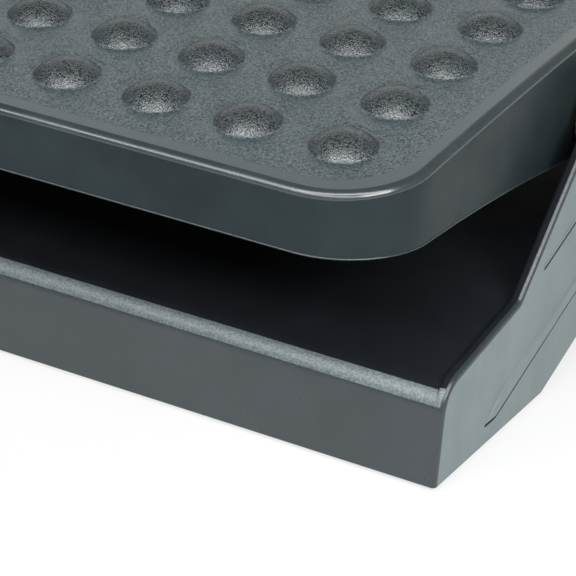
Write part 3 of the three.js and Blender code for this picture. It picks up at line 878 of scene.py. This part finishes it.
def base_cuts():
    """The arches under the side walls, the floor, the sockets of the feet and the seats of the bushes."""
    arch_top = arch_half_width - arch_height / arch_slope
    arch_foot = arch_half_width + overrun / arch_slope
    reach = base_half_width + overrun
    arch = [(-arch_foot, -overrun), (-arch_top, arch_height), (arch_top, arch_height), (arch_foot, -overrun)]
    below_floor = box(-reach, reach, -reach, reach, -2 * overrun, 0)
    socket_end = foot_thickness - foot_proud + foot_stem_length + fit_gap
    bore = rod(bush_hole_radius, collar_x - overrun, base_half_width - ear_skin, 0, pivot_height)
    sockets = foot_rods(foot_stem_radius + fit_gap, 0, socket_end)
    return [slab(arch, -reach, reach), below_floor, *sockets, *both_sides([bore])]


def base_surface(face):
    """Which of the base's materials a face has: the side walls' outer faces paler as painted light, the
    shelves, the deck and the ears' insides near black as painted shade, and the up-facing rounded edges
    paler as a painted highlight.
    """
    across, along = abs(face.center.x), abs(face.center.y)
    # Painted light: the flat outer faces of the side walls take the paler colour
    if across > base_half_width - hair:
        return base_painted_light_outside
    if across >= base_half_width - base_side_radius:
        return base_plain
    # Painted shade: the faces between the rounded edges, under the tray, take the near-black colour
    if along < base_half_depth - base_edge_radius * base_edge_share:
        return base_painted_shade
    # Painted highlight: the up-facing faces of the rounded front and rear edges take the pale band
    return base_painted_highlight_band if face.normal.z > base_edge_facing else base_plain


def base_frame(materials):
    rims = (base_side_radius, base_side_steps, side_line)
    wall = slab(mirrored(side_half()), ear_inner_x, base_half_width, *rims)
    arms = [(stations, facing) for stations in (low_ridge, high_ridge) for facing in (-1, 1)]
    ridges = both_sides([ridge_arm(*arm) for arm in arms])
    middle = base_slab(0, base_half_width - base_side_radius)
    outer = united([middle, wall, half_round(wall), *ridges])
    outer = cut(outer, both_sides([ridge_groove(*arm) for arm in arms]))
    hollowed = cut(outer, [base_slab(base_wall, ear_inner_x)])
    shell = united([hollowed, base_inside(), *ear_fittings()])
    shell = tidied(cut(shell, base_cuts()))
    for face in shell.data.polygons:
        face.material_index = base_surface(face)
    smoothed(shell)
    return dressed(shell, "base_shell", "base", ["base_frame"], base_place, materials)


# Small parts
def foot_profile():
    """Radius and height along a rubber foot: a pad with a round groove in its sole, and a stem."""
    pad, groove, stem = foot_radius, foot_groove_radius, foot_stem_radius
    sole, top = -foot_proud, foot_thickness - foot_proud
    stem_top = top + foot_stem_length
    rounding = foot_edge * foot_edge_share
    return [
        (0, sole), (groove - edge_break, sole), (groove, sole + edge_break), (groove + edge_break, sole),
        (pad - foot_edge, sole), (pad - rounding, sole + rounding), (pad, sole + foot_edge),
        (pad, top - edge_break), (pad - edge_break, top), (stem, top),
        (stem, stem_top - edge_break), (stem - edge_break, stem_top), (0, stem_top),
    ]


def rubber_feet(material):
    for name_y, y in (("front", -foot_y), ("rear", foot_y)):
        for name_x, x in (("left", -foot_x), ("right", foot_x)):
            piece = smoothed(upright(turned("foot", foot_profile()), x, y))
            name = f"rubber_foot_{name_y}_{name_x}"
            dressed(piece, f"{name}_skin", "base", [name], base_place, [material])


def side_piece(name, shape, side, body, material):
    """Dresses a part of the right pivot, or the same part turned half round for the left one."""
    if side == "left":
        moved(shape, Matrix.Rotation(half_turn, 4, "Z"))
    place = tray_place if body == "tray" else Matrix.Translation(pivot)
    smoothed(shape)
    dressed(shape, f"{name}_{side}_skin", body, [f"{name}_{side}"], place, [material])


def pivot_pin():
    near, far, end = pin_head_x, pin_head_x + pin_head_thickness, pin_end_x
    head, shaft = pin_head_radius, pin_radius
    pairs = [
        (0, near), (head - edge_break, near), (head, near + edge_break),
        (head, far - edge_break), (head - edge_break, far), (shaft, far),
        (shaft, end - edge_break), (shaft - edge_break, end), (0, end),
    ]
    return turned("pin", pairs)


def friction_washer():
    near, far = friction_washer_x, friction_washer_x + friction_washer_thickness
    bore, radius, half_break = pin_hole_radius, friction_washer_radius, edge_break / 2
    pairs = [
        (bore, near + half_break), (bore + half_break, near), (radius - edge_break, near),
        (radius, near + edge_break), (radius, far - edge_break), (radius - edge_break, far),
        (bore + half_break, far), (bore, far - half_break),
    ]
    return turned("washer", pairs)


def pivot_bush():
    near, far, end = bush_flange_x, bush_flange_x + bush_flange_thickness, bush_end_x
    bore, flange = pin_radius + running_gap, bush_flange_radius
    outer = bore + bush_wall
    pairs = [
        (bore, near), (flange - edge_break, near), (flange, near + edge_break), (flange, far),
        (outer, far), (outer, end - edge_break), (outer - edge_break, end), (bore, end),
    ]
    return turned("bush", pairs)


def spring_washer():
    near, far = spring_washer_x, spring_washer_x + spring_washer_cone
    bore, radius, half_break = pin_hole_radius, spring_washer_radius, edge_break / 2
    pairs = [
        (bore, far), (radius - half_break, near), (radius, near + half_break),
        (radius, near + spring_washer_thickness), (bore, far + spring_washer_thickness),
    ]
    return turned("cone", pairs)


def retainer_plate():
    corners = []
    for end in (-1, 1):
        for cos, sin in arc(0, half_turn, round_steps // 2):
            corners.append((end * (screw_y + plate_half_width * sin), -end * plate_half_width * cos))
    back = plate_face_x - plate_thickness
    plate = slab(corners, back, plate_face_x, edge_break, plate_edge_steps)
    through = (back - overrun, plate_face_x + overrun)
    return cut(plate, [rod(screw_hole_radius, *through, y, 0) for y in (-screw_y, screw_y)])


def plate_screw(y):
    """A pan head screw with a cross slot."""
    top, end = screw_head_x - screw_head_height, screw_head_x + screw_length
    dome = [(radius * mm, top + depth * mm) for radius, depth in screw_dome]
    shank = [(screw_radius, screw_head_x), (screw_radius, end - screw_radius), (0, end)]
    body = turned("screw", [(0, top), *dome, (screw_head_radius, screw_head_x), *shank])
    half, reach = screw_slot_half, screw_slot_reach
    slots = [
        box(top - overrun, top + screw_slot_depth, -half, half, -reach, reach),
        box(top - overrun, top + screw_slot_depth, -reach, reach, -half, half),
    ]
    return moved(cut(body, [united(slots)]), Matrix.Translation((0, y, 0)))


def pivots(looks):
    nylon, fibre = looks["natural_nylon"], looks["pressed_fibre"]
    steel, zinc = looks["turned_steel"], looks["zinc_plate"]
    for side, front_y in (("right", -screw_y), ("left", screw_y)):
        side_piece("friction_washer", friction_washer(), side, "base", fibre)
        side_piece("pivot_bush", pivot_bush(), side, "base", nylon)
        side_piece("pivot_pin", pivot_pin(), side, "tray", steel)
        side_piece("spring_washer", spring_washer(), side, "tray", zinc)
        side_piece("retainer_plate", retainer_plate(), side, "tray", zinc)
        for place, y in (("front", front_y), ("rear", -front_y)):
            side_piece(f"plate_screw_{place}", plate_screw(y), side, "tray", zinc)


# Materials
class Nodes:
    """The nodes of a tree. What a node takes is a value or another node's output."""

    def __init__(self, tree):
        self.tree = tree

    def add(self, kind, inputs=None, **settings):
        node = self.tree.nodes.new(kind)
        for name, value in settings.items():
            setattr(node, name, value)
        self.feed(node, inputs or {})
        return node

    def feed(self, node, inputs):
        for name, value in inputs.items():
            if isinstance(value, bpy.types.NodeSocket):
                self.tree.links.new(value, node.inputs[name])
            else:
                node.inputs[name].default_value = value

    def place(self):
        return self.add("ShaderNodeTexCoord").outputs["Object"]

    def noise(self, size, place=None, detail=2.0, roughness=0.5, distortion=0.0):
        inputs = {"Vector": place or self.place(), "Scale": 1 / size}
        inputs |= {"Detail": detail, "Roughness": roughness, "Distortion": distortion}
        return self.add("ShaderNodeTexNoise", inputs).outputs["Fac"]

    def math(self, operation, *values):
        return self.add("ShaderNodeMath", dict(enumerate(values)), operation=operation).outputs[0]

    def vector(self, operation, *values, output="Vector"):
        node = self.add("ShaderNodeVectorMath", dict(enumerate(values)), operation=operation)
        return node.outputs[output]

    def ranged(self, value, from_low, from_high, to_low, to_high):
        inputs = {"Value": value, "From Min": from_low, "From Max": from_high}
        inputs |= {"To Min": to_low, "To Max": to_high}
        return self.add("ShaderNodeMapRange", inputs).outputs["Result"]

    def spread(self, noise, to_low=0.0, to_high=1.0):
        """The middle of a noise's levels, drawn out between two values."""
        return self.ranged(noise, *noise_levels, to_low, to_high)

    def mixed(self, share, *pair):
        """A colour between two. A mix node has several sockets of one name, so they go by number."""
        node = self.add("ShaderNodeMix", data_type="RGBA")
        colours = [colour if isinstance(colour, bpy.types.NodeSocket) else (*colour, 1) for colour in pair]
        self.feed(node, dict(zip(mix_inputs, (share, *colours))))
        return node.outputs[mix_output]

    def bump(self, height, distance):
        return self.add("ShaderNodeBump", {"Height": height, "Distance": distance}).outputs[0]


class Look(Nodes):
    """A material made of nodes."""

    def __init__(self, name):
        self.material = bpy.data.materials.new(name)
        self.material.use_nodes = True
        super().__init__(self.material.node_tree)
        self.shader = self.tree.nodes["Principled BSDF"]

    def leather(self):
        """The grain of the tray's top and of the base's rounded edges."""
        noise = self.noise(grain_size, detail=1.0, distortion=grain_distortion)
        return self.ranged(noise, *grain_levels, 0.0, 1.0)

    def finish(self, colour, roughness, normal, specular=0.5, metallic=0.0):
        inputs = {"Base Color": colour, "Roughness": roughness, "Normal": normal}
        self.feed(self.shader, inputs | {"Specular IOR Level": specular, "Metallic": metallic})
        return self.material


def tray_top_look():
    """Leather grain inside a smooth rim, and glossier domes whose colour is darker as painted shade of their
    dim tops.
    """
    look = Look("tray_top")
    turn = {"Vector": look.place(), "Location": pivot, "Rotation": (rest_tilt, 0, 0)}
    place = look.add("ShaderNodeMapping", turn, vector_type="TEXTURE").outputs[0]
    cap = look.add("ShaderNodeAttribute", attribute_name="cap").outputs["Fac"]
    cap = look.ranged(cap, 0.0, cap_blend, 0.0, 1.0)
    corner_x = tray_half_width - rim_side - rim_corner_radius
    corner_y = tray_half_depth - rim_front - rim_corner_radius
    away = look.vector("SUBTRACT", look.vector("ABSOLUTE", place), (corner_x, corner_y, 0))
    outside = look.vector("MAXIMUM", look.vector("MULTIPLY", away, (1, 1, 0)), (0, 0, 0))
    distance = look.vector("LENGTH", outside, output="Value")
    field = look.ranged(distance, rim_corner_radius - rim_blend, rim_corner_radius + rim_blend, 1.0, 0.0)
    grain = look.leather()
    grained = look.math("MAXIMUM", field, cap)
    height = look.math("MULTIPLY", grain, look.math("ADD", grained, cap))
    roughness = look.ranged(field, 0.0, 1.0, rim_roughness, leather_roughness)
    roughness = look.math("SUBTRACT", roughness, look.math("MULTIPLY", cap, cap_gloss))
    rim = look.mixed(look.noise(rim_patch_size, detail=3.0), *rim_colours)
    # Painted shade: the domes take the darker colours
    leather = look.mixed(cap, look.mixed(grain, *leather_colours), look.mixed(grain, *cap_grain_and_shade_colours))
    colour = look.mixed(grained, rim, leather)
    return look.finish(colour, roughness, look.bump(height, leather_depth), specular=1.0)


def base_painted_highlight_look():
    """The grain of the base's rounded front and rear edges, on a colour much paler than the rest of the base
    as a painted highlight.
    """
    look = Look("base_painted_highlight_edge")
    grain = look.leather()
    colour, normal = look.mixed(grain, *base_edge_grain_and_highlight_colours), look.bump(grain, base_edge_depth)
    return look.finish(colour, base_edge_roughness, normal, base_edge_specular)


def shell_look(name, colours, roughness, fine_size, fine_depth, specular=0.5, stretch=1.0):
    """Plastic with a fine grain and slow changes in gloss and in colour, which the stretch draws upwards."""
    look = Look(name)
    drawn = look.vector("MULTIPLY", look.place(), (1, 1, 1 / stretch))
    patch = look.noise(shell_patch_size, drawn, detail=5.0, roughness=0.62)
    gloss = look.noise(shell_gloss_size, detail=4.0)
    gloss = look.spread(gloss, roughness - shell_gloss_change, roughness + shell_gloss_change)
    colour = look.mixed(look.spread(patch), *colours)
    return look.finish(colour, gloss, look.bump(look.noise(fine_size), fine_depth), specular)


def small_look(name, colours, roughness, patch_size, patch_detail, fine_size, fine_depth):
    """Rubber, nylon or fibre, with patches of colour and a fine grain."""
    look = Look(name)
    colour = look.mixed(look.noise(patch_size, detail=patch_detail), *colours)
    return look.finish(colour, roughness, look.bump(look.noise(fine_size), fine_depth))


def steel_look(name, colours, roughness):
    look = Look(name)
    colour = look.mixed(look.noise(steel_patch_size, detail=steel_detail), *colours)
    gloss = look.noise(steel_gloss_size, detail=steel_detail)
    gloss = look.spread(gloss, roughness - steel_smoother, roughness + steel_rougher)
    return look.finish(colour, gloss, look.bump(look.noise(steel_fine_size), steel_fine_depth), metallic=1.0)


def material_set():
    looks = {"tray_top": tray_top_look(), "base_painted_highlight_edge": base_painted_highlight_look()}
    for make, surfaces in ((shell_look, shells), (small_look, small_surfaces), (steel_look, steels)):
        looks |= {name: make(name, **values) for name, values in surfaces.items()}
    return looks


# Studio
def photo_camera():
    turn = Matrix.Rotation(camera_azimuth, 4, "Z") @ Matrix.Rotation(quarter - camera_elevation, 4, "X")
    camera = bpy.data.objects.new("camera", bpy.data.cameras.new("camera"))
    camera.data.lens = camera_lens
    camera.data.sensor_width = camera_sensor
    camera.matrix_world = Matrix.Translation(camera_place) @ turn @ Matrix.Rotation(camera_roll, 4, "Z")
    bpy.context.scene.collection.objects.link(camera)
    bpy.context.scene.camera = camera


def lamp(name, place, target, width, height, power):
    light = bpy.data.lights.new(name, "AREA")
    light.shape = "RECTANGLE"
    light.size, light.size_y, light.energy = width, height, power
    piece = bpy.data.objects.new(name, light)
    piece.location = place
    piece.rotation_mode = "QUATERNION"
    piece.rotation_quaternion = (Vector(target) - Vector(place)).to_track_quat("-Z", "Y")
    piece.visible_camera = False
    bpy.context.scene.collection.objects.link(piece)


def sky():
    """A dim wall all round and a darker ceiling, of whose light matt faces get a share."""
    world = bpy.data.worlds.new("studio")
    bpy.context.scene.world = world
    world.use_nodes = True
    nodes = Nodes(world.node_tree)
    place = nodes.add("ShaderNodeTexCoord").outputs["Generated"]
    height = nodes.add("ShaderNodeSeparateXYZ", {0: place}).outputs["Z"]
    wall = nodes.ranged(height, math.sin(wall_top), math.sin(ceiling_start), wall_strength, ceiling_strength)
    diffuse = nodes.add("ShaderNodeLightPath").outputs["Is Diffuse Ray"]
    strength = nodes.math("MULTIPLY", wall, nodes.ranged(diffuse, 0.0, 1.0, 1.0, diffuse_share))
    nodes.feed(nodes.tree.nodes["Background"], {"Color": white, "Strength": strength})


def floor():
    """A pale floor that shows as white and keeps a soft shadow of the object."""
    look = Look("white_floor")
    look.feed(look.shader, {"Base Color": floor_colour, "Roughness": 1.0})
    glow = look.add("ShaderNodeEmission", {"Color": white, "Strength": 1.0}).outputs[0]
    path = look.add("ShaderNodeLightPath").outputs
    seen = look.math("MAXIMUM", path["Is Glossy Ray"], path["Is Transmission Ray"])
    seen = look.math("MAXIMUM", path["Is Camera Ray"], seen)
    share = look.math("MULTIPLY", seen, floor_glow)
    mix = look.add("ShaderNodeMixShader", {0: share, 1: look.shader.outputs[0], 2: glow}).outputs[0]
    look.feed(look.tree.nodes["Material Output"], {"Surface": mix})
    near, far = -floor_reach, floor_reach
    corners = [(near, near, 0), (far, near, 0), (far, far, 0), (near, far, 0)]
    piece = mesh_piece("floor", corners, [(0, 1, 2, 3)])
    piece.data.materials.append(look.material)


def studio():
    bpy.context.scene.view_settings.view_transform = "Standard"
    sky()
    floor()
    for name, settings in lamps.items():
        lamp(name, *settings)


photo_camera()
looks = material_set()
base_frame([looks[name] for name in ("base_plastic", "base_painted_light_side", "base_inside", "base_painted_highlight_edge")])
foot_tray([looks[name] for name in ("tray_top", "tray_skirt", "tray_edge")])
rubber_feet(looks["black_rubber"])
pivots(looks)
studio()
